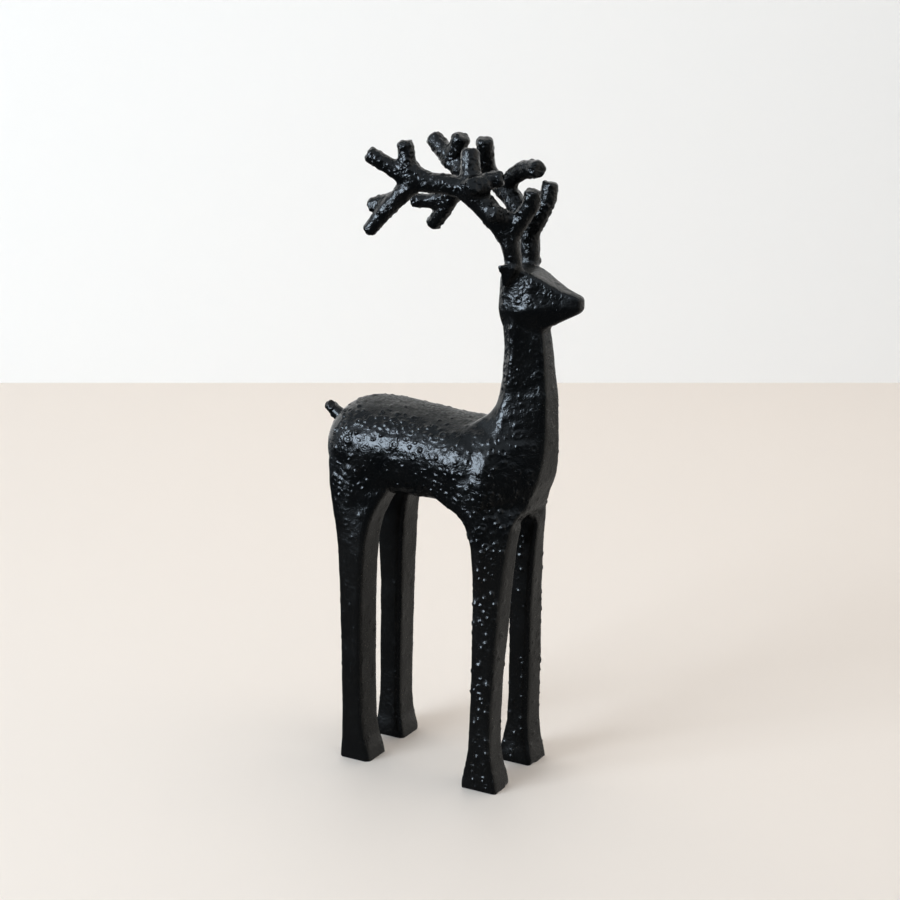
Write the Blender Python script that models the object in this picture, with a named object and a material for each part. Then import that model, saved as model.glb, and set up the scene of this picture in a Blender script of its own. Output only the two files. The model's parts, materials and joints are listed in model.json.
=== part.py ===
"""A cast iron stag that stands on four flared feet, with antlers swept back over its body.

Sizes are in millimetres. +X is forwards, +Y is the stag's left and +Z is up, and the feet stand on Z = 0.
The origin ends up under the middle of the casting's box.
"""

import math

import bmesh
import bpy
from mathutils import Vector

MM = 0.001
SIDES = (-1, 1)  # the stag's right and left

# The body
BACK_HEIGHT = 177.2  # ground to the top of the rump
BACK_DIP = 3.7  # how far the back falls towards the shoulders
BELLY_HEIGHT = 133.0
BODY_WIDTH = 52.0
WAIST_SHARE = 0.93  # the waist's width as a share of the rump's
RUMP_OVERHANG = 17.6  # the rump's reach behind the hind legs' centres
RUMP_ROUNDING = 22.0
SHOULDER_ROUNDING = 22.0

# The legs
STANCE = 71.5  # hind leg centre to front leg centre
FRONT_LEG_CENTRE = 27.5  # in front of the drawing's zero
HIND_LEG_CENTRE = FRONT_LEG_CENTRE - STANCE
FRONT_TRACK = 37.0  # right foot centre to left foot centre
HIND_TRACK = 33.0

# The neck and head
THROAT_HEIGHT = 219.0
NECK_BACK = 28.0
NECK_FRONT = 49.6
NECK_WIDTH = 22.0
NECK_FACE = 15.0  # the flat front face's width
CHEST_FACE = 21.5
HEAD_LENGTH = 37.9  # back of the skull to the nose
HEAD_DEPTH = 27.0  # throat to the top of the skull
SKULL_WIDTH = 22.0
NOSE_WIDTH = 7.0
EAR_DEPTH = 2.6

# The antlers, each drawn in an upright plane that splays out towards the back
ANTLER_SPLAY = math.radians(17.5)
ANTLER_TRACK = 19.0  # between the two trunks' feet
ANTLER_FOOT = 33.0  # the trunks' place along the body
BEAM_RADIUS = 4.2
TINE_RADIUS = 3.7

# The tail
TAIL_LENGTH = 14.5
TAIL_RADIUS = 3.5

# The surface
VOXEL = 0.8
SMOOTH_STEPS = 5
LOST_TO_SMOOTHING = 0.25  # what the smoothing takes off the skin
MOST_TRIANGLES = 9000


def loft(name, rings):
    """A closed body through rings of points in millimetres, all with the same number of points."""
    mesh = bmesh.new()
    levels = [[mesh.verts.new(Vector(point) * MM) for point in ring] for ring in rings]
    count = len(rings[0])
    for below, above in zip(levels, levels[1:]):
        for i in range(count):
            j = (i + 1) % count
            mesh.faces.new((below[i], below[j], above[j], above[i]))
    mesh.faces.new(levels[0])
    mesh.faces.new(levels[-1])
    bmesh.ops.recalc_face_normals(mesh, faces=mesh.faces)
    data = bpy.data.meshes.new(name)
    mesh.to_mesh(data)
    mesh.free()
    obj = bpy.data.objects.new(name, data)
    bpy.context.scene.collection.objects.link(obj)
    return obj


def superellipse(half_width, half_height, power, count=28):
    """Points of a rounded box outline, which is an ellipse at power 2."""
    points = []
    for i in range(count):
        angle = 2 * math.pi * i / count
        across = math.copysign(abs(math.cos(angle)) ** (2 / power), math.cos(angle))
        up = math.copysign(abs(math.sin(angle)) ** (2 / power), math.sin(angle))
        points.append((half_width * across, half_height * up))
    return points


def chamfered(corners, cut):
    """The outline through corners, with each of them cut off."""
    outline = []
    for i, corner in enumerate(corners):
        corner = Vector(corner)
        for neighbour in (corners[i - 1], corners[(i + 1) % len(corners)]):
            towards = Vector(neighbour) - corner
            outline.append(corner + towards.normalized() * min(cut, towards.length * 0.4))
    return outline


def torso():
    """The barrel of the body, lofted from the rounded rump to a rounded end inside the chest."""
    rear = HIND_LEG_CENTRE - RUMP_OVERHANG
    start = rear + RUMP_ROUNDING
    front = FRONT_LEG_CENTRE - SHOULDER_ROUNDING * 0.68
    half_height = (BACK_HEIGHT - BELLY_HEIGHT) / 2
    middle = (BACK_HEIGHT + BELLY_HEIGHT) / 2
    rings = []
    steps = 9
    for i in range(steps):
        back = 0.997 * math.cos(math.pi / 2 * i / (steps - 1)) ** 0.8
        tall = (1 - back ** 2.5) ** (1 / 2.5)
        wide = (1 - back ** 3.1) ** (1 / 3.1)
        rings.append([(start - RUMP_ROUNDING * back, y, middle + z) for y, z in
                      superellipse(BODY_WIDTH / 2 * wide, half_height * tall, 2.2)])
    steps = 8
    for i in range(1, steps + 1):
        share = i / steps
        x = start + (front - start) * share
        waist = 1 - (1 - WAIST_SHARE) * math.sin(math.pi * share)
        top = BACK_HEIGHT - BACK_DIP * share ** 2 * (3 - 2 * share)
        rings.append([(x, y, (top + BELLY_HEIGHT) / 2 + z) for y, z in
                      superellipse(BODY_WIDTH / 2 * waist, (top - BELLY_HEIGHT) / 2, 2.2)])
    steps = 5
    for i in range(1, steps + 1):
        ahead = 0.97 * math.sin(math.pi / 2 * i / steps)
        shrunk = math.sqrt(1 - ahead ** 2)
        rings.append([(front + SHOULDER_ROUNDING * ahead, y, (top + BELLY_HEIGHT) / 2 + z) for y, z in
                      superellipse(BODY_WIDTH / 2 * shrunk, (top - BELLY_HEIGHT) / 2 * shrunk, 2.2)])
    return loft("torso", rings)


# Each station of a leg is its height as a share of the belly's, then five corners: inner rear, inner
# front, outer front, outer middle and outer rear. A corner is how far it lies ahead of the foot's
# centre and how far outside it.
FRONT_LEG = (
    (-0.015, (-10.2, -8.2), (8.2, -8.2), (8.9, 8.2), (-4, 8.2), (-10.2, 8.2)),
    (0.03, (-9.8, -8.0), (7.5, -8.0), (7.9, 8.1), (-4, 8.1), (-9.8, 8.0)),
    (0.085, (-8.0, -7.2), (5.7, -6.9), (6.1, 8.1), (-4, 8.2), (-8.0, 8.2)),
    (0.15, (-6.5, -6.5), (4.6, -6.1), (4.9, 8.2), (-3, 8.4), (-6.5, 8.3)),
    (0.26, (-5.6, -6.6), (4.8, -5.6), (5.1, 8.2), (-3, 8.5), (-5.6, 8.3)),
    (0.41, (-5.1, -7.0), (5.4, -6.4), (5.8, 7.3), (-2, 8.2), (-5.1, 8.1)),
    (0.56, (-4.8, -7.8), (6.6, -8.4), (6.6, 5.8), (-2, 7.6), (-4.8, 7.6)),
    (0.68, (-4.8, -8.4), (7.8, -9.2), (7.3, 4.5), (-2, 7.3), (-4.8, 7.2)),
    (0.80, (-5.2, -9.0), (9.0, -9.8), (8.5, 2.7), (-2, 7.2), (-5.2, 6.8)),
    (0.89, (-6.6, -9.4), (10.4, -9.8), (9.7, 1.3), (-3, 7.2), (-6.8, 6.0)),
    (0.93, (-8.0, -9.8), (11.4, -10.4), (10.4, 0.7), (-4, 7.2), (-8.4, 5.0)),
    (0.955, (-9.4, -10.2), (11.2, -12.4), (10.9, 0.2), (-4, 7.2), (-10.2, 4.4)),
    (0.97, (-10.8, -11.0), (8.6, -18.6), (11.4, -0.8), (-5, 7.3), (-11.6, 3.6)),
    (1.00, (-15.0, -13.0), (11.6, -18.6), (13.0, -3.0), (-6, 7.3), (-16, 3.0)),
    (1.02, (-21.0, -15.5), (13.8, -18.6), (14.2, -5.0), (-7, 7.4), (-22, 3.4)),
    (1.05, (-26.5, -18.4), (16.0, -18.6), (15.4, -8.0), (-8, 7.4), (-27.5, 4.2)),
    (1.12, (-30, -18.4), (17.2, -18.4), (16.8, -8.0), (-9, 7.2), (-30, 6.0)),
)
HIND_LEG = (
    (-0.015, (-7.8, -8.9), (9.6, -8.9), (9.6, 8.2), (-2, 8.2), (-7.8, 8.2)),
    (0.03, (-7.0, -8.6), (8.6, -8.6), (8.4, 8.2), (-2, 8.2), (-7.0, 8.2)),
    (0.085, (-6.2, -7.6), (6.8, -7.6), (6.4, 8.4), (-2, 8.5), (-6.2, 8.4)),
    (0.15, (-5.6, -6.9), (6.1, -6.7), (5.5, 8.8), (-2, 9.0), (-5.6, 8.8)),
    (0.26, (-5.3, -6.5), (6.1, -6.2), (5.4, 9.3), (-2, 9.4), (-5.3, 9.3)),
    (0.43, (-4.9, -6.4), (6.5, -5.9), (5.6, 9.9), (-1, 9.9), (-4.9, 9.8)),
    (0.60, (-4.8, -6.4), (7.1, -5.8), (6.4, 10.4), (-1, 10.2), (-4.8, 10.0)),
    (0.75, (-5.2, -6.6), (7.8, -6.0), (7.4, 10.3), (-1, 10.2), (-5.2, 10.0)),
    (0.85, (-6.4, -7.0), (8.9, -6.5), (8.7, 9.6), (-1, 10.2), (-6.4, 9.8)),
    (0.92, (-7.7, -8.0), (10.8, -7.8), (10.4, 8.2), (-1, 10.0), (-7.7, 9.6)),
    (0.98, (-9.2, -10), (14.0, -10), (13.4, 5.4), (-1, 9.8), (-9.2, 9.3)),
    (1.04, (-10.5, -13), (19, -13), (18, 2.4), (0, 9.6), (-10.5, 9.0)),
    (1.12, (-11.4, -14), (22, -14), (21, 6.0), (2, 9.2), (-11.4, 8.0)),
    (1.20, (-10.8, -14), (20, -14), (19, 6.0), (2, 8.2), (-10.8, 6.4)),
    (1.27, (-8.5, -14), (14, -14), (13, 4.0), (2, 4.5), (-8.5, 3.0)),
)


def leg(name, centre, side, track, stations):
    rings = []
    for share, *corners in stations:
        rings.append([(centre + x, side * (track / 2 + y), share * BELLY_HEIGHT)
                      for x, y in chamfered(corners, 1.2)])
    return loft(name, rings)


def faceted(back, front, widest, half_back, half_wide, half_front):
    """A neck section seen from above: a flat back, flat tapering sides and a flat front."""
    right = [(back, -half_back), (widest, -half_wide), (front - 1, -half_front), (front, -half_front + 1)]
    return right + [(x, -y) for x, y in reversed(right)]


def neck():
    """The chest and neck, from the arch between the front legs to the inside of the head."""
    wide, face, body = NECK_WIDTH / 2, NECK_FACE / 2, BODY_WIDTH / 2
    # Height, back, front, widest place, then the half widths at the back, widest place and front
    stations = (
        (BELLY_HEIGHT - 4.6, 29, NECK_FRONT - 13.4, 32, 6, 8, 5),
        (BELLY_HEIGHT - 2.4, 22, NECK_FRONT - 10.6, 28, 9, 13, 8.5),
        (BELLY_HEIGHT + 0.4, 12, NECK_FRONT - 8.4, 24, 14, body - 5.0, CHEST_FACE / 2 + 0.6),
        (BELLY_HEIGHT + 3.4, 8, NECK_FRONT - 6.8, 24, 17, body - 2.0, CHEST_FACE / 2 + 1.6),
        (BELLY_HEIGHT + 8, 4, NECK_FRONT - 5.4, 26, body - 4.6, body - 0.9, CHEST_FACE / 2 + 0.6),
        (BELLY_HEIGHT + 15, 4, NECK_FRONT - 2.2, 27, body - 1.8, body - 0.6, CHEST_FACE / 2),
        (BELLY_HEIGHT + 22, 4, NECK_FRONT - 0.8, 27, body - 1.8, body - 1.6, CHEST_FACE / 2 - 0.8),
        (BELLY_HEIGHT + 29, 6, NECK_FRONT + 0.1, 27.5, body - 3.8, body - 4.2, face + 1.2),
        (BELLY_HEIGHT + 36, 10, NECK_FRONT + 0.3, 28.5, body - 8.6, body - 9.0, face + 0.4),
        (BELLY_HEIGHT + 41, 16.2, NECK_FRONT + 0.3, 29.5, 10, body - 11.6, face + 0.1),
        (BELLY_HEIGHT + 45, 21.8, NECK_FRONT + 0.2, 30, 9, wide + 2.0, face),
        (BELLY_HEIGHT + 49.5, 25.3, NECK_FRONT + 0.1, 30, 8.5, wide + 1.0, face),
        (BELLY_HEIGHT + 55, NECK_BACK - 1.1, NECK_FRONT, 32.0, 8, wide + 0.2, face - 0.2),
        (BELLY_HEIGHT + 63, NECK_BACK, NECK_FRONT - 0.8, 33, 7, wide - 0.2, face - 1.0),
        (THROAT_HEIGHT - 9, NECK_BACK + 0.6, NECK_FRONT - 2.2, 34, 6.5, wide - 0.6, face - 1.8),
        (THROAT_HEIGHT + 4, NECK_BACK - 0.8, NECK_FRONT - 4.0, 34, 6.5, wide - 0.6, face - 2.4),
        (THROAT_HEIGHT + 16, NECK_BACK - 2.0, NECK_FRONT - 10.0, 31, 6.5, wide - 1.6, face - 2.4),
    )
    rings = [[(x, y, z) for x, y in faceted(back, front, widest, half_back, half_wide, half_front)]
             for z, back, front, widest, half_back, half_wide, half_front in stations]
    return loft("neck", rings)


def head():
    """A wedge from the skull to the nose, with a flat top, flat cheeks and an undercut jaw."""
    back = NECK_BACK - 2.0
    top = THROAT_HEIGHT + HEAD_DEPTH
    skull, nose = SKULL_WIDTH / 2, NOSE_WIDTH / 2
    # Share of the head's length, then the top, jaw and underside: heights and half widths
    stations = (
        (0.00, top - 5.0, THROAT_HEIGHT + 8.0, THROAT_HEIGHT + 1.0, skull - 5.0, skull - 3.0, skull - 6.0),
        (0.10, top - 2.0, THROAT_HEIGHT + 7.2, THROAT_HEIGHT - 0.5, skull - 2.6, skull - 0.8, skull - 5.5),
        (0.26, top - 0.4, THROAT_HEIGHT + 7.2, THROAT_HEIGHT - 0.8, skull - 2.2, skull - 0.2, skull - 5.0),
        (0.42, top - 2.6, THROAT_HEIGHT + 8.3, THROAT_HEIGHT - 0.8, skull - 3.0, skull - 0.4, skull - 5.0),
        (0.58, top - 5.8, THROAT_HEIGHT + 8.9, THROAT_HEIGHT + 0.3, skull - 4.8, skull - 2.2, skull - 6.2),
        (0.76, top - 9.4, THROAT_HEIGHT + 9.6, THROAT_HEIGHT + 4.0, nose + 1.1, nose + 2.8, nose + 0.2),
        (0.94, top - 11.4, THROAT_HEIGHT + 10.4, THROAT_HEIGHT + 7.4, nose - 0.2, nose + 0.6, nose - 0.8),
        (1.00, top - 12.4, THROAT_HEIGHT + 10.6, THROAT_HEIGHT + 8.8, nose - 0.8, nose - 0.2, nose - 1.6),
    )
    rings = []
    for share, up, jaw, low, at_top, at_jaw, at_low in stations:
        right = [(-at_low, low), (-at_jaw, jaw), (-at_top, up)]
        ring = right + [(-y, z) for y, z in reversed(right)]
        rings.append([(back + HEAD_LENGTH * share, y, z) for y, z in ring])
    return loft("head", rings)


def limb(name, points, radii, sides=8):
    """A tapering prism that follows points, cut flat at both ends."""
    points = [Vector(point) for point in points]
    rings = []
    across = (points[1] - points[0]).orthogonal()
    for i, (point, radius) in enumerate(zip(points, radii)):
        before, after = points[max(i - 1, 0)], points[min(i + 1, len(points) - 1)]
        along = (after - before).normalized()
        across = (across - along * across.dot(along)).normalized()
        other = along.cross(across)
        ring = []
        for k in range(sides):
            angle = 2 * math.pi * (k + 0.5) / sides
            ring.append(point + (across * math.cos(angle) + other * math.sin(angle)) * radius)
        rings.append(ring)
    return loft(name, rings)


def antler_point(side, back, out, up):
    """A point of an antler: its distance back along the splayed plane, out of that plane, and its height."""
    along = Vector((-math.cos(ANTLER_SPLAY), side * math.sin(ANTLER_SPLAY), 0))
    outward = Vector((math.sin(ANTLER_SPLAY), side * math.cos(ANTLER_SPLAY), 0))
    foot = Vector((ANTLER_FOOT, side * ANTLER_TRACK / 2, THROAT_HEIGHT + HEAD_DEPTH))
    return foot + along * back + outward * out + Vector((0, 0, up))


# Each limb's points are back, out and up from the antler's foot, each with a share of the limb's radius
RIGHT_LIMBS = (
    ("beam", BEAM_RADIUS, (
        (2, -6, -8, 0.8), (-1.3, -0.8, -0.5, 0.93), (-0.8, 0, 6, 0.95), (0.6, 0, 12.5, 1.1), (5, 0, 18.8, 1.12),
        (10.2, 0, 25.6, 1.3), (15.6, 0, 30.8, 1.3), (22, 0, 34.8, 1.14), (30, 0, 36.4, 1.08),
        (38, 0, 36.8, 1.1), (46, 0, 38, 1.0), (54, 0, 43.2, 0.88), (64.3, 0, 48.8, 0.9))),
    ("brow", TINE_RADIUS, (
        (0.5, 0, 11, 1.0), (-1, 0, 16, 1.1), (-5.2, 1, 22.8, 1.1), (-9.6, 3, 28.6, 1.08), (-10.2, 4, 35, 1.0))),
    ("up", TINE_RADIUS, ((18, 0, 33, 1.3), (18.6, -2, 43, 1.16), (19.2, -4, 51.3, 1.08))),
    ("out", TINE_RADIUS, ((18, 0, 33.5, 1.2), (14.5, 8, 37.5, 1.06))),
    ("forward", TINE_RADIUS, ((18, 0, 34, 1.2), (10, 0, 38.2, 1.06), (3.6, 0, 39.4, 1.04))),
    ("boss", TINE_RADIUS, ((20, 1, 34.5, 1.3), (14.5, 3, 36.0, 1.4), (9.5, 1.5, 36.5, 1.2))),
    ("stub", TINE_RADIUS, ((0, 0, 19, 1.15), (2.6, 1.5, 22.2, 1.1), (5.2, 4.2, 23.9, 1.0), (7.8, 7.5, 25.3, 0.92))),
    ("rear_up", TINE_RADIUS, ((43, 0, 38, 1.3), (46.6, 0, 45, 1.1), (47.6, 0, 54.6, 0.98))),
    ("web", TINE_RADIUS, ((47, 0, 47, 0.8), (43.6, 0, 41.4, 0.9), (36, 0, 37.6, 0.9))),
    ("rear_down", TINE_RADIUS, ((44, 0, 36, 1.2), (50.5, 0, 30.0, 1.1), (57, 0, 23.5, 1.02), (65, 0, 13.9, 0.82))),
    ("rear_stub", TINE_RADIUS, ((50, -2, 29.5, 1.0), (57.5, -4, 27, 0.98), (64.8, -5, 25, 0.94))),
)
LEFT_LIMBS = (
    ("beam", BEAM_RADIUS, (
        (3, -6, -8, 0.8), (0, -0.5, -1, 1.06), (0, 0, 6, 1.12), (0.6, 0, 12, 1.1), (3, 0, 18, 1.1),
        (7, 0, 22.6, 1.1), (12, 0, 27.5, 1.1), (18, 0, 32, 1.1), (25, 0, 35.8, 1.06), (34, 0, 37.2, 1.04),
        (45, 0, 37.4, 1.06), (52, 0, 41, 1.02), (64.5, 0, 51, 0.98))),
    ("brow", TINE_RADIUS, (
        (0.5, 0, 9, 1.0), (-1, 0, 14.5, 1.1), (-5.2, 1, 22.0, 1.1), (-7.6, 3, 28.4, 1.08), (-8.2, 4, 36, 1.0))),
    ("up", TINE_RADIUS, ((27, 0, 34, 1.2), (25.8, -3, 43.6, 1.12), (24.2, -5.5, 53.6, 1.04))),
    ("forward", TINE_RADIUS, (
        (16, 0, 31, 1.1), (12, 0, 36.5, 1.1), (6, 0, 40.4, 1.12), (-1, 0, 41.8, 1.12), (-6.4, -1.8, 42.1, 1.1))),
    ("rear_up", TINE_RADIUS, ((52, 0, 38.5, 1.25), (48.6, 0, 45.5, 1.2), (44.8, 0, 53.0, 1.16))),
    ("fork", TINE_RADIUS, ((52, 0, 40, 1.3), (54.8, 0, 47.0, 1.0))),
    ("rear_down", TINE_RADIUS, ((44, 0, 34, 1.1), (54, 0, 21.5, 1.08), (60, 0, 14.5, 1.04), (65.2, 0, 9.6, 1.0))),
    ("rear_stub", TINE_RADIUS, ((54, 0, 24, 1.0), (64, -3, 21.2, 0.96), (70.8, -8, 21.5, 0.92))),
)


def antlers():
    found = []
    for side, own in zip(SIDES, (RIGHT_LIMBS, LEFT_LIMBS)):
        for label, radius, points in own:
            path = [antler_point(side, back, out, up) for back, out, up, _ in points]
            found.append(limb(f"{label}_{side}", path, [radius * point[3] for point in points]))
    return found


def ear_triangle(side, inset, outwards):
    """The ear's rim, drawn in by inset and moved outwards along the way the ear opens."""
    top = THROAT_HEIGHT + HEAD_DEPTH
    tip = Vector((NECK_BACK + 0.8, side * 16.5, top + 2.8))
    front = Vector((NECK_BACK + 10.2, side * 13.0, top + 1.5))
    bottom = Vector((NECK_BACK + 2.6, side * 12.2, top - 9.4))
    corners = [tip, front, bottom]
    centre = sum(corners, Vector()) / 3
    opening = (front - tip).cross(bottom - tip).normalized() * -side
    return [corner + (centre - corner).normalized() * inset + opening * outwards for corner in corners]


def ears():
    """Solid three-sided ears; their hollows are cut afterwards."""
    found = []
    middle = THROAT_HEIGHT + HEAD_DEPTH / 2 + 8
    for side in SIDES:
        rim = ear_triangle(side, 0, 0)
        core = Vector((NECK_BACK + 7, side * 2, middle))
        root = [core + (corner - core) * 0.5 for corner in rim]
        found.append(loft(f"ear_{side}", [root, rim]))
    return found


def ear_hollows():
    found = []
    for side in SIDES:
        mouth = ear_triangle(side, 2.4, 1.0)
        floor = ear_triangle(side, 4.6, -EAR_DEPTH)
        found.append(loft(f"ear_hollow_{side}", [floor, mouth]))
    return found


def tail():
    """A short stub that points up and back."""
    root = HIND_LEG_CENTRE - RUMP_OVERHANG + 5
    low = BACK_HEIGHT - 16
    path = [(root, 0, low), (root - TAIL_LENGTH * 0.55, 0, low + 4.5), (root - TAIL_LENGTH, 0, low + 9.2)]
    return limb("tail", path, (TAIL_RADIUS * 1.25, TAIL_RADIUS, TAIL_RADIUS * 0.65))


def iron():
    material = bpy.data.materials.new("black_iron")
    material.use_nodes = True
    shader = material.node_tree.nodes["Principled BSDF"]
    shader.inputs["Base Color"].default_value = (0.012, 0.013, 0.014, 1)
    shader.inputs["Metallic"].default_value = 0.0
    shader.inputs["Roughness"].default_value = 0.35
    return material


def evaluated_mesh(obj):
    """The number of triangles in obj as its modifiers leave it, and its box's lowest and highest corners."""
    graph = bpy.context.evaluated_depsgraph_get()
    evaluated = obj.evaluated_get(graph)
    mesh = evaluated.to_mesh()
    mesh.calc_loop_triangles()
    count = len(mesh.loop_triangles)
    points = [vertex.co for vertex in mesh.vertices]
    low = Vector([min(point[axis] for point in points) for axis in range(3)])
    high = Vector([max(point[axis] for point in points) for axis in range(3)])
    evaluated.to_mesh_clear()
    return count, low, high


def add_boolean(obj, label, operation, parts):
    """Join or cut obj with a collection of hidden forms."""
    forms = bpy.data.collections.new(label)
    bpy.context.scene.collection.children.link(forms)
    for part in parts:
        bpy.context.scene.collection.objects.unlink(part)
        forms.objects.link(part)
        part.hide_render = True
        part.display_type = "WIRE"
    modifier = obj.modifiers.new(label, "BOOLEAN")
    modifier.operation = operation
    modifier.operand_type = "COLLECTION"
    modifier.collection = forms
    modifier.solver = "EXACT"


def ground():
    """A block whose top is the ground, which cuts the feet off flat."""
    reach = STANCE * 2
    rings = []
    for z in (-BELLY_HEIGHT / 4, 0):
        rings.append([(-reach, -reach, z), (reach, -reach, z), (reach, reach, z), (-reach, reach, z)])
    return loft("ground", rings)


def main():
    for obj in list(bpy.data.objects):
        bpy.data.objects.remove(obj)
    limbs = [neck(), head(), tail()] + antlers() + ears()
    for side in SIDES:
        limbs.append(leg(f"front_leg_{side}", FRONT_LEG_CENTRE, side, FRONT_TRACK, FRONT_LEG))
        limbs.append(leg(f"hind_leg_{side}", HIND_LEG_CENTRE, side, HIND_TRACK, HIND_LEG))

    stag = torso()
    stag.name = "stag"
    add_boolean(stag, "limbs", "UNION", limbs)
    add_boolean(stag, "ear hollows", "DIFFERENCE", ear_hollows())
    skin = stag.modifiers.new("skin", "REMESH")
    skin.mode = "VOXEL"
    skin.voxel_size = VOXEL * MM
    smooth = stag.modifiers.new("rounded edges", "SMOOTH")
    smooth.factor = 0.5
    smooth.iterations = SMOOTH_STEPS
    swell = stag.modifiers.new("full size again", "DISPLACE")
    swell.strength = LOST_TO_SMOOTHING * MM
    swell.mid_level = 0
    count, _, _ = evaluated_mesh(stag)
    fewer = stag.modifiers.new("fewer faces", "DECIMATE")
    fewer.ratio = min(1.0, MOST_TRIANGLES / count)
    add_boolean(stag, "flat feet", "DIFFERENCE", [ground()])
    stag.data.materials.append(iron())

    _, low, high = evaluated_mesh(stag)
    shift = Vector(((low.x + high.x) / -2, (low.y + high.y) / -2, 0))
    for obj in bpy.data.objects:
        obj.location += shift


main()
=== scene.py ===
"""The looks of a cast iron stag: its skin with the relief of the casting, and the worn gloss paint on it,
with a painted sheen on its tops and fronts.

The solid from the frame gives the form. Its skin is drawn again with a finer mesh, smoothed where the
casting flows, and covered with small nodules, rings and dents. All lengths are metres.
"""

import json
import math
import random

import bpy
import numpy as np
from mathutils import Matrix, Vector
from mathutils.kdtree import KDTree

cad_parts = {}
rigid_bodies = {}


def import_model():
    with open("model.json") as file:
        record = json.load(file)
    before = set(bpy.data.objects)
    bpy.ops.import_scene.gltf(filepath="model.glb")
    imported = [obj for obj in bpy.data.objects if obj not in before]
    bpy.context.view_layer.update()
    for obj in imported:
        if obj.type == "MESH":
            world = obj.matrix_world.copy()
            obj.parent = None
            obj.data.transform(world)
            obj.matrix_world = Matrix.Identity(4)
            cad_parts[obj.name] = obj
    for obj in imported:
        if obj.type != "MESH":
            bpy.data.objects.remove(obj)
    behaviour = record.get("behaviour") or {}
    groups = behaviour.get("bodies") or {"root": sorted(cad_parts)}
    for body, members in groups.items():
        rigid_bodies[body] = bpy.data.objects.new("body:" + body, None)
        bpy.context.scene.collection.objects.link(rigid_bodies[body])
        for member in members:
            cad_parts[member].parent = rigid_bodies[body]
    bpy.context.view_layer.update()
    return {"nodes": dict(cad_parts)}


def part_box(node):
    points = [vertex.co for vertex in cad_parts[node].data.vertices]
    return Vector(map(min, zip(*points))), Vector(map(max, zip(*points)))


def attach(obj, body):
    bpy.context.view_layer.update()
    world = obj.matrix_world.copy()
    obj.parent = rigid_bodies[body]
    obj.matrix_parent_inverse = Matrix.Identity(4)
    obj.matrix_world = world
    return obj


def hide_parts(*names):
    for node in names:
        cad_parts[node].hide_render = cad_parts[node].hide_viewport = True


MM = 0.001

# The skin's mesh
FORM_VOXEL = 0.85 * MM
MOST_TRIANGLES = 194000
SOLE_FADE = 2.0 * MM  # the relief dies away this far above the soles
SOLE_FLAT = 0.25 * MM  # what lies lower than this is set down on the ground
FORM_STEPS = 12  # steps of smoothing: everywhere, on the body, and where the back meets the neck
BODY_STEPS = 80
WITHERS_STEPS = 60
WITHERS_BACK = 0.52

# The marks of the casting
MARK_SPACING = 3.0 * MM
MARK_SEED = 7
ANTLER_MARK_HEIGHT = 0.65  # as a share of a mark's full height
SWELLS = (0.15 * MM, 9.0 * MM)  # height and size
RIPPLES = (0.07 * MM, 3.2 * MM)

# The camera
CAMERA_PLACE = (0.42348, -0.74747, 0.38945)
CAMERA_TILT = 74.77  # degrees, 90 is level
CAMERA_TURN = 29.48
CAMERA_LENS = 76.24  # mm, on a 36 mm sensor

# The room
TABLE_FAR_EDGE = 0.80
TABLE_COLOUR = (0.86, 0.75, 0.655)
WALL_COLOUR = (0.955, 0.905, 0.85)
ROOM_SIDE = (-0.15, 0.50, 0.80)  # the way the room is brightest
ROOM_LIGHT = 0.74
ROOM_DIM = 0.06
OVERHEAD = 0.62  # the room straight above, as a share of ROOM_LIGHT
BELOW_NEAR = 0.05  # what the iron reflects from below, towards the camera and away from it
BELOW_FAR = 0.30
COOL_LIGHT = (0.76, 0.88, 1.0)
WARM_LIGHT = (1.0, 0.96, 0.90)
WINDOW_PLACE = (-0.71, -1.50, 0.62)
WINDOW_SIZE = (0.95, 0.75)
WINDOW_POWER = 25.0
WINDOW_GLOW = 0.9
CEILING_POWER = 6.8

BODY = "root"
NODE = "stag"


# Mesh tools

def points_of(mesh):
    points = np.empty(len(mesh.vertices) * 3, np.float32)
    mesh.vertices.foreach_get("co", points)
    return points.reshape(-1, 3).astype(np.float64)


def quads_of(mesh):
    loops = np.empty(len(mesh.loops), np.int32)
    mesh.loops.foreach_get("vertex_index", loops)
    return loops.reshape(-1, 4)


def normals_of(mesh):
    found = np.empty(len(mesh.vertices) * 3, np.float32)
    mesh.vertex_normals.foreach_get("vector", found)
    return found.reshape(-1, 3).astype(np.float64)


def put(mesh, points):
    mesh.vertices.foreach_set("co", points.astype(np.float32).ravel())
    mesh.update()


def record(mesh, name, values):
    """Keep a number for each point of the mesh, for its material."""
    layer = mesh.attributes.new(name, "FLOAT", "POINT")
    layer.data.foreach_set("value", values.astype(np.float32))


def applied(obj):
    """obj with its modifiers made real."""
    graph = bpy.context.evaluated_depsgraph_get()
    mesh = bpy.data.meshes.new_from_object(obj.evaluated_get(graph))
    obj.modifiers.clear()
    old = obj.data
    obj.data = mesh
    bpy.data.meshes.remove(old)
    return mesh


def smoothed(points, faces, steps, weight, back=0.57):
    """Points after steps of smoothing, each point moved by its own weight.

    Every other step swells the form again by back, which keeps its volume at 0.57 and loses some below 0.55.
    """
    edges = np.concatenate([faces[:, [0, 1]], faces[:, [1, 2]], faces[:, [2, 3]], faces[:, [3, 0]]])
    count = len(points)
    share = np.bincount(edges[:, 0], minlength=count) + np.bincount(edges[:, 1], minlength=count)
    points = points.copy()
    for step in range(steps):
        factor = 0.55 if step % 2 == 0 else -back
        middle = np.empty_like(points)
        for axis in range(3):
            total = np.bincount(edges[:, 0], points[edges[:, 1], axis], count)
            total += np.bincount(edges[:, 1], points[edges[:, 0], axis], count)
            middle[:, axis] = total / share
        points += (middle - points) * (factor * weight)[:, None]
    return points


def ramp(values, low, high):
    """0 below low, 1 above high, and smooth between them."""
    share = np.clip((values - low) / (high - low), 0, 1)
    return share * share * (3 - 2 * share)


def fall(values, low, high):
    """1 below low, 0 above high, and smooth between them."""
    return ramp(-values, -high, -low)


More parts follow.
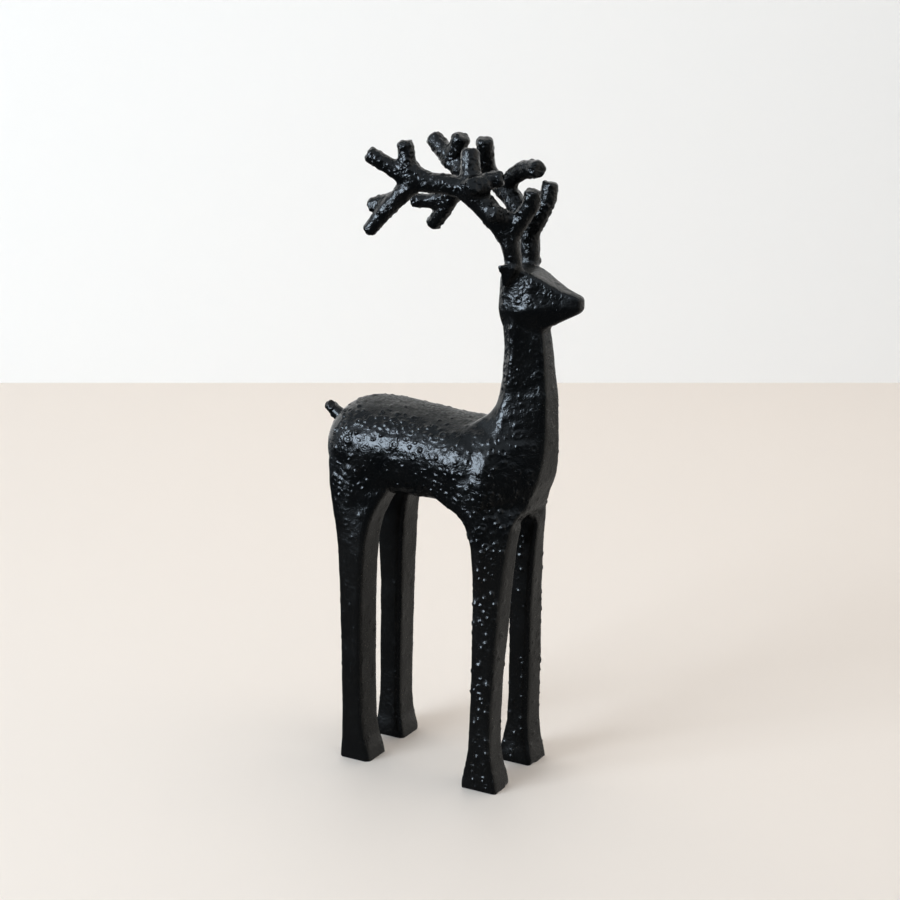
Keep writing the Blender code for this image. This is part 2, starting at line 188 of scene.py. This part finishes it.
def lattice(cells, seed):
    """A number from -1 to 1 for each corner of a grid of cells."""
    mixed = cells[:, 0] * 374761393 + cells[:, 1] * 668265263 + cells[:, 2] * 2147483647 + seed * 1274126177
    mixed = (mixed ^ (mixed >> 13)) & 0xFFFFFFFF
    mixed = (mixed * 1103515245 + 12345) & 0xFFFFFFFF
    mixed = (mixed ^ (mixed >> 15)) & 0xFFFFFFFF
    mixed = (mixed * 747796405) & 0xFFFFFFFF
    return (mixed >> 8) / 8388608.0 - 1.0


def noise(points, size, seed):
    """Smooth noise from -1 to 1 whose lumps are about size across."""
    scaled = points / size
    cells = np.floor(scaled).astype(np.int64)
    share = scaled - cells
    share = share * share * (3 - 2 * share)
    total = np.zeros(len(points))
    for corner in range(8):
        offset = np.array([corner & 1, (corner >> 1) & 1, (corner >> 2) & 1])
        weight = np.prod(np.where(offset, share, 1 - share), axis=1)
        total += weight * lattice(cells + offset, seed)
    return total


# The relief of the casting

def relief_share(points, normals):
    """How thickly the marks lie, and how high they are as a share of their full height, at each point.

    The flanks, the shoulders and the antlers have the most, and those on the antlers are low. The flat
    fronts, the back's top and the insides of the legs have few. A band along each flank has half of what
    lies round it.
    """
    x, z = points[:, 0], points[:, 2]
    sideways = ramp(np.abs(normals[:, 1]), 0.45, 0.8)
    leg = fall(z, 0.130, 0.142) * fall(x, 0.0, 0.01)
    neck = ramp(z, 0.160, 0.176) * ramp(x, 0.016, 0.028)
    share = 0.2 + 0.8 * sideways * (1 - 0.7 * leg) * (1 - 0.4 * neck)
    body = ramp(z, 0.128, 0.140) * fall(x, 0.0, 0.02) * ramp(normals[:, 0], -0.7, -0.35)
    share = np.maximum(share, body * (1 - 0.85 * ramp(normals[:, 2], 0.88, 0.98)))
    shining = ramp(z, 0.144, 0.150) * fall(z, 0.160, 0.166) * fall(normals[:, 2], 0.6, 0.8)
    share *= 1 - 0.5 * shining
    antler = ramp(z, 0.252, 0.262)
    share = np.maximum(share, antler)
    inwards = -normals[:, 1] * np.sign(points[:, 1])
    share *= 1 - 0.6 * ramp(inwards, 0.4, 0.7) * fall(z, 0.12, 0.13)
    height = (0.4 + 0.6 * share) * (1 - 0.5 * neck) * (1 - 0.45 * leg)
    return share, np.where(antler > 0.5, ANTLER_MARK_HEIGHT, height)


def scattered(points, share, spacing, tree, chance):
    """Indexes of points that lie spacing apart, and further apart where share is low."""
    taken = np.zeros(len(points), bool)
    found = []
    for index in chance.sample(range(len(points)), len(points)):
        if taken[index]:
            continue
        found.append(index)
        reach = spacing / math.sqrt(share[index]) * chance.uniform(0.75, 1.25)
        taken[[near[1] for near in tree.find_range(points[index], reach)]] = True
    return found


def nodule(distance, angle):
    return np.maximum(1 - distance ** 2, 0) ** 0.8


def ring(distance, angle):
    return np.exp(-((distance - 0.62) / 0.2) ** 2) - 0.5 * np.exp(-(distance / 0.35) ** 2)


def crescent(distance, angle):
    return np.exp(-((distance - 0.6) / 0.22) ** 2) * (0.5 + 0.5 * np.cos(angle)) ** 1.5


def dent(distance, angle):
    return -0.8 * (1 - distance ** 2) ** 2


# Each kind of mark: its profile, how many of ten marks it makes, its radius and its height
MARKS = (
    (nodule, 4, 1.05 * MM, 0.62 * MM),
    (crescent, 3, 1.5 * MM, 0.55 * MM),
    (ring, 2, 1.9 * MM, 0.46 * MM),
    (dent, 1, 1.0 * MM, 0.34 * MM),
)


def marks(points, normals):
    """The height that the nodules, rings, crescents and dents give each point of the skin."""
    chance = random.Random(MARK_SEED)
    tree = KDTree(len(points))
    for index, point in enumerate(points):
        tree.insert(point, index)
    tree.balance()
    height = np.zeros(len(points))
    kinds = [kind for kind in MARKS for _ in range(kind[1])]
    share, highness = relief_share(points, normals)
    for index in scattered(points, share, MARK_SPACING, tree, chance):
        profile, _, radius, rise = chance.choice(kinds)
        radius *= chance.uniform(0.7, 1.3)
        rise *= chance.uniform(0.5, 1.2) * highness[index]
        stretch = chance.uniform(1.0, 1.5)
        normal = normals[index]
        across = np.cross(normal, (0.3, 0.2, 0.9) if abs(normal[2]) < 0.8 else (1.0, 0.1, 0.0))
        across /= np.linalg.norm(across)
        other = np.cross(normal, across)
        turn = chance.uniform(0, 2 * math.pi)
        first = across * math.cos(turn) + other * math.sin(turn)
        second = other * math.cos(turn) - across * math.sin(turn)
        near = np.array([found[1] for found in tree.find_range(points[index], radius * stretch)])
        offset = points[near] - points[index]
        u = offset @ first / (radius * stretch)
        v = offset @ second / radius
        distance = np.hypot(u, v)
        inside = (distance < 1) & (normals[near] @ normal > 0.2)
        near, distance, angle = near[inside], distance[inside], np.arctan2(v[inside], u[inside])
        edge = 1 - ramp(distance, 0.85, 1.0)
        height[near] += rise * profile(distance, angle) * edge
    return height


def relief(points, normals):
    """The whole relief of the casting at each point, in metres along the skin's normal."""
    height = SWELLS[0] * noise(points, SWELLS[1], 1) + RIPPLES[0] * noise(points, RIPPLES[1], 2)
    height += marks(points, normals)
    return height * ramp(points[:, 2], 0, SOLE_FADE)


def dust_and_sheen_share(points, normals):
    """How matt the paint is, and how far its colour is lightened as dust and a painted sheen: 1 on top of the
    back and head, a little on the fronts, 0 elsewhere.
    """
    below_antlers = fall(points[:, 2], 0.250, 0.256)
    top = ramp(normals[:, 2], 0.84, 0.98)
    front = 0.35 * ramp(normals[:, 0], 0.6, 0.9)
    return np.maximum(top, front) * below_antlers


def stirring(points):
    """How restless the paint's surface is: most on the head and antlers, then on the flanks and shoulders."""
    body = ramp(points[:, 2], 0.122, 0.140) * fall(points[:, 2], 0.160, 0.178)
    neck = 0.5 * ramp(points[:, 2], 0.160, 0.175)
    return np.maximum(0.22 + 0.22 * np.maximum(body, neck), 0.7 * ramp(points[:, 2], 0.225, 0.240))


def leg_tone(points):
    """How far the paint's colour turns lighter and warmer towards the bottom: fully low on the legs, not at
    all on the body above them.
    """
    return fall(points[:, 2], 0.105, 0.135)


def beading(points):
    """How close the paint's beads lie: closest on the shoulders, then low on the flanks and above."""
    x, z = points[:, 0], points[:, 2]
    shoulder = ramp(z, 0.112, 0.124) * fall(z, 0.160, 0.172) * ramp(x, 0.004, 0.014)
    low = 0.35 * ramp(z, 0.124, 0.130) * fall(z, 0.142, 0.150)
    high = 0.3 * ramp(z, 0.158, 0.164)
    return np.maximum(shoulder, np.maximum(low, high))


def pitting(points, normals):
    """How deep the small pits are: deepest on the antlers and the head, then on the flat fronts."""
    head = ramp(points[:, 2], 0.222, 0.240)
    front = 0.7 * ramp(normals[:, 0], 0.6, 0.9)
    return np.maximum(0.25, np.maximum(head, front))


def casting(node):
    """The stag's skin, which stands for its solid."""
    low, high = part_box(NODE)
    mesh = node.data.copy()
    obj = bpy.data.objects.new("stag_casting", mesh)
    bpy.context.scene.collection.objects.link(obj)
    voxels = obj.modifiers.new("voxels", "REMESH")
    voxels.mode = "VOXEL"
    voxels.voxel_size = FORM_VOXEL
    mesh = applied(obj)
    points, faces = points_of(mesh), quads_of(mesh)
    soft = ramp(points[:, 2], 0.118, 0.135) * fall(points[:, 0], 0.018, 0.034)
    chest = ramp(points[:, 2], 0.095, 0.115) * fall(points[:, 2], 0.190, 0.215)
    chest *= ramp(np.abs(points[:, 1]), 0.008, 0.013) * fall(points[:, 0], 0.040, 0.047)
    soft = np.maximum(soft, chest * ramp(points[:, 0], -0.01, 0.01))
    points = smoothed(points, faces, FORM_STEPS, np.full(len(points), 1.0))
    points = smoothed(points, faces, BODY_STEPS, soft)
    withers = ramp(points[:, 2], 0.136, 0.150) * fall(points[:, 2], 0.180, 0.196)
    withers *= ramp(points[:, 0], -0.014, 0.0) * fall(points[:, 0], 0.034, 0.044)
    withers *= ramp(np.abs(points[:, 1]), 0.003, 0.009)
    points = smoothed(points, faces, WITHERS_STEPS, withers, WITHERS_BACK)
    put(mesh, points)
    finer = obj.modifiers.new("finer", "SUBSURF")
    finer.levels = 1
    finer.render_levels = 1
    mesh = applied(obj)
    points, faces = points_of(mesh), quads_of(mesh)
    normals = normals_of(mesh)
    points += normals * relief(points, normals)[:, None]
    points[points[:, 2] < SOLE_FLAT, 2] = 0
    points = np.clip(points, np.array(low), np.array(high))
    put(mesh, points)
    fewer = obj.modifiers.new("fewer", "DECIMATE")
    fewer.ratio = min(1.0, MOST_TRIANGLES / (2 * len(faces)))
    mesh = applied(obj)
    put(mesh, np.clip(points_of(mesh), np.array(low), np.array(high)))
    points = points_of(mesh)
    # Where the paint is matt with dust, and where its colour is lightened by the painted sheen on tops and
    # fronts
    record(mesh, "dust_and_sheen", dust_and_sheen_share(points, normals_of(mesh)))
    record(mesh, "pits", pitting(points, normals_of(mesh)))
    record(mesh, "beads", beading(points))
    record(mesh, "leg_tone", leg_tone(points))
    record(mesh, "stir", stirring(points))
    mesh.polygons.foreach_set("use_smooth", [True] * len(mesh.polygons))
    mesh.materials.clear()
    mesh.materials.append(black_paint())
    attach(obj, BODY)
    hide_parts(NODE)
    return obj


# The paint

PAINT_DARK = (0.0008, 0.0010, 0.0012)
PAINT_LIGHT = (0.0024, 0.0023, 0.0022)
# The lighter, warmer colour the paint turns towards the bottom of the legs
LEG_TONE_COLOUR = (0.0044, 0.0040, 0.0036)
# Lighter paint on the tops and fronts: partly dust, partly a painted sheen standing in for the pale room's
# and the table's reflection
DUST_AND_SHEEN_COLOUR = (0.0062, 0.0070, 0.0060)
# How many lumps of each texture lie in a metre
CLOUDS_SCALE = 90.0
PATCHES_SCALE = 260.0
STROKES_SCALE = 330.0
BEADS_SCALE = 400.0
DUST_AND_SHEEN_PATCH_SCALE = 700.0
PITS_SCALE = 820.0
GRAIN_SCALE = 1500.0


class Nodes:
    """A material's nodes, added and joined in short lines."""

    def __init__(self, name):
        self.material = bpy.data.materials.new(name)
        self.material.use_nodes = True
        self.tree = self.material.node_tree
        self.shader = self.tree.nodes["Principled BSDF"]

    def add(self, kind, **settings):
        node = self.tree.nodes.new(kind)
        for name, value in settings.items():
            setattr(node, name, value)
        return node

    def join(self, output, socket):
        self.tree.links.new(output, socket)

    def texture(self, kind, scale, detail=2.0):
        place = self.add("ShaderNodeTexCoord")
        node = self.add(kind)
        node.inputs["Scale"].default_value = scale
        if "Detail" in node.inputs:
            node.inputs["Detail"].default_value = detail
        self.join(place.outputs["Object"], node.inputs["Vector"])
        return node

    def ranged(self, output, low, high, to_low, to_high):
        node = self.add("ShaderNodeMapRange")
        node.inputs["From Min"].default_value = low
        node.inputs["From Max"].default_value = high
        node.inputs["To Min"].default_value = to_low
        node.inputs["To Max"].default_value = to_high
        self.join(output, node.inputs["Value"])
        return node.outputs["Result"]

    def mixed(self, share, first, colour):
        node = self.add("ShaderNodeMix", data_type="RGBA")
        self.join(share, node.inputs["Factor"])
        self.join(first, node.inputs["A"])
        node.inputs["B"].default_value = (*colour, 1)
        return node.outputs["Result"]

    def maths(self, operation, first, second):
        node = self.add("ShaderNodeMath", operation=operation)
        self.join(first, node.inputs[0])
        self.join(second, node.inputs[1])
        return node.outputs["Value"]

    def sum_of(self, first, second):
        return self.maths("ADD", first, second)

    def product(self, first, second):
        return self.maths("MULTIPLY", first, second)

    def attribute(self, name):
        return self.add("ShaderNodeAttribute", attribute_name=name).outputs["Fac"]

    def bump(self, height, strength, distance, under=None):
        """A normal with bumps of height, over those of the normal under it."""
        node = self.add("ShaderNodeBump")
        node.inputs["Strength"].default_value = strength
        node.inputs["Distance"].default_value = distance
        self.join(height, node.inputs["Height"])
        if under is not None:
            self.join(under, node.inputs["Normal"])
        return node.outputs["Normal"]

    def colours(self, output, *stops):
        node = self.add("ShaderNodeValToRGB")
        ramp_stops = node.color_ramp.elements
        while len(ramp_stops) < len(stops):
            ramp_stops.new(0.5)
        for stop, (place, colour) in zip(ramp_stops, stops):
            stop.position = place
            stop.color = (*colour, 1)
        self.join(output, node.inputs["Fac"])
        return node.outputs["Color"]


def paint_normal(n, dust_and_sheen):
    """The paint's normal: a fine grain, strokes over it, then beads, then pits."""
    grain = n.texture("ShaderNodeTexNoise", GRAIN_SCALE).outputs["Fac"]
    normal = n.bump(grain, 0.3, 0.05 * MM)
    strokes = n.texture("ShaderNodeTexNoise", STROKES_SCALE)
    strokes.inputs["Distortion"].default_value = 1.6
    strokes = n.product(strokes.outputs["Fac"], n.attribute("stir"))
    normal = n.bump(strokes, 0.8, 0.80 * MM, normal)
    reach = n.texture("ShaderNodeTexVoronoi", BEADS_SCALE).outputs["Distance"]
    reach = n.ranged(reach, 0.0, 0.34, 0.0, 1.0)
    bead = n.ranged(n.product(reach, reach), 0.0, 1.0, 1.0, 0.0)
    close = n.ranged(n.attribute("beads"), 0.0, 1.0, 0.0, 0.2)
    patches = n.texture("ShaderNodeTexNoise", PATCHES_SCALE, 1.0).outputs["Fac"]
    some = n.ranged(n.sum_of(patches, close), 0.5, 0.6, 0.0, 1.0)
    bare = n.ranged(dust_and_sheen, 0.0, 0.3, 1.0, 0.0)
    normal = n.bump(n.product(n.product(bead, some), bare), 1.0, 0.36 * MM, normal)
    hole = n.texture("ShaderNodeTexVoronoi", PITS_SCALE).outputs["Distance"]
    hole = n.ranged(hole, 0.05, 0.42, 0.0, 1.0)
    return n.bump(n.product(hole, n.attribute("pits")), 1.0, 0.45 * MM, normal)


def black_paint():
    """Black satin paint over cast iron, with cloudy gloss, matt where dust lies on it, lighter on the tops
    and fronts as dust and a painted sheen, and lighter and warmer low on the legs.
    """
    n = Nodes("black_iron_paint")
    clouds = n.texture("ShaderNodeTexNoise", CLOUDS_SCALE, 3.0).outputs["Fac"]
    colour = n.colours(clouds, (0.3, PAINT_DARK), (0.7, PAINT_LIGHT))
    # Lighter and warmer towards the bottom of the legs
    colour = n.mixed(n.attribute("leg_tone"), colour, LEG_TONE_COLOUR)
    dust_and_sheen_patches = n.texture("ShaderNodeTexNoise", DUST_AND_SHEEN_PATCH_SCALE, 3.0).outputs["Fac"]
    dust_and_sheen = n.product(n.attribute("dust_and_sheen"), n.ranged(dust_and_sheen_patches, 0.36, 0.6, 0.45, 1.0))
    # Lighter colour on the tops and fronts: partly dust, partly a painted sheen standing in for the
    # reflection of the pale room and the table
    n.join(n.mixed(dust_and_sheen, colour, DUST_AND_SHEEN_COLOUR), n.shader.inputs["Base Color"])
    gloss = n.ranged(clouds, 0.3, 0.7, 0.12, 0.24)
    dulled = n.ranged(dust_and_sheen, 0.0, 1.0, 0.0, 0.34)
    n.join(n.sum_of(gloss, dulled), n.shader.inputs["Roughness"])
    n.shader.inputs["IOR"].default_value = 1.5
    n.join(n.ranged(dust_and_sheen, 0.0, 1.0, 0.5, 0.24), n.shader.inputs["Specular IOR Level"])
    n.join(paint_normal(n, dust_and_sheen), n.shader.inputs["Normal"])
    return n.material


# The room

def plain(name, colour, roughness):
    n = Nodes(name)
    n.shader.inputs["Base Color"].default_value = (*colour, 1)
    n.shader.inputs["Roughness"].default_value = roughness
    return n.material


def sheet_of(name, corners, material):
    mesh = bpy.data.meshes.new(name)
    mesh.from_pydata(corners, [], [(0, 1, 2, 3)])
    mesh.materials.append(material)
    obj = bpy.data.objects.new(name, mesh)
    bpy.context.scene.collection.objects.link(obj)
    return obj


def room():
    turn = math.radians(CAMERA_TURN)
    ahead = Vector((-math.sin(turn), math.cos(turn), 0))
    right = Vector((math.cos(turn), math.sin(turn), 0))
    far = ahead * TABLE_FAR_EDGE
    near = -ahead * 1.6
    wide = right * 3
    floor = sheet_of("floor", [near - wide, near + wide, far + wide, far - wide],
                     plain("floor", TABLE_COLOUR, 0.6))
    floor.visible_glossy = False
    up = Vector((0, 0, 3))
    sheet_of("backdrop", [far - wide, far + wide, far + wide + up, far - wide + up],
             plain("backdrop", WALL_COLOUR, 0.9))


def softbox(name, place, target, size, power, colour):
    light = bpy.data.lights.new(name, "AREA")
    light.shape = "RECTANGLE"
    light.size, light.size_y = size
    light.energy = power
    light.color = colour
    obj = bpy.data.objects.new(name, light)
    obj.location = place
    obj.rotation_euler = (Vector(target) - Vector(place)).to_track_quat("-Z", "Y").to_euler()
    bpy.context.scene.collection.objects.link(obj)
    return obj


def sky():
    """A pale room: bright above the table, dimmer below it and overhead, with a glow round the window."""
    world = bpy.data.worlds.new("room")
    world.use_nodes = True
    tree = world.node_tree
    background = tree.nodes["Background"]
    place = tree.nodes.new("ShaderNodeTexCoord")

    def facing(direction, low, high, to_low, to_high):
        """A number that goes from to_low to to_high as the view turns towards direction."""
        dot = tree.nodes.new("ShaderNodeVectorMath")
        dot.operation = "DOT_PRODUCT"
        dot.inputs[1].default_value = Vector(direction).normalized()
        tree.links.new(place.outputs["Generated"], dot.inputs[0])
        ranged = tree.nodes.new("ShaderNodeMapRange")
        ranged.interpolation_type = "SMOOTHSTEP"
        for socket, value in zip(("From Min", "From Max", "To Min", "To Max"), (low, high, to_low, to_high)):
            ranged.inputs[socket].default_value = value
        tree.links.new(dot.outputs["Value"], ranged.inputs["Value"])
        return ranged.outputs["Result"]

    def combined(operation, first, second):
        node = tree.nodes.new("ShaderNodeMath")
        node.operation = operation
        tree.links.new(first, node.inputs[0])
        tree.links.new(second, node.inputs[1])
        return node.outputs["Value"]

    below = facing((0.6, 0.8, 0), -0.2, 0.9, BELOW_NEAR, BELOW_FAR)
    above = facing(ROOM_SIDE, -0.55, 0.35, ROOM_DIM, ROOM_LIGHT)
    above = combined("MULTIPLY", above, facing((0, 0, 1), -0.34, -0.05, 0, 1))
    above = combined("MULTIPLY", above, facing((0, 0, 1), 0.45, 0.9, 1, OVERHEAD))
    glow = facing(WINDOW_PLACE, 0.82, 0.99, 0, WINDOW_GLOW)
    tree.links.new(combined("ADD", combined("MAXIMUM", below, above), glow), background.inputs["Strength"])
    tone = tree.nodes.new("ShaderNodeMix")
    tone.data_type = "RGBA"
    tree.links.new(facing((0.45, 0.85, -0.4), -0.35, 0.7, 0, 1), tone.inputs["Factor"])
    tone.inputs["A"].default_value = (*COOL_LIGHT, 1)
    tone.inputs["B"].default_value = (*WARM_LIGHT, 1)
    tree.links.new(tone.outputs["Result"], background.inputs["Color"])
    bpy.context.scene.world = world


def lights():
    sky()
    softbox("window", WINDOW_PLACE, (0, 0, 0.15), WINDOW_SIZE, WINDOW_POWER, (0.72, 0.86, 1.0))
    ceiling = softbox("ceiling", (0.1, 0.2, 1.4), (0, 0.1, 0), (1.2, 1.2), CEILING_POWER, (1.0, 0.97, 0.93))
    ceiling.visible_glossy = False


def camera():
    data = bpy.data.cameras.new("camera")
    data.lens = CAMERA_LENS
    data.sensor_width = 36
    obj = bpy.data.objects.new("camera", data)
    obj.location = CAMERA_PLACE
    obj.rotation_euler = (math.radians(CAMERA_TILT), 0, math.radians(CAMERA_TURN))
    bpy.context.scene.collection.objects.link(obj)
    bpy.context.scene.camera = obj


def main():
    for obj in list(bpy.data.objects):
        bpy.data.objects.remove(obj)
    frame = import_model()
    bpy.context.scene.view_settings.view_transform = "Standard"
    casting(frame["nodes"][NODE])
    room()
    lights()
    camera()


main()
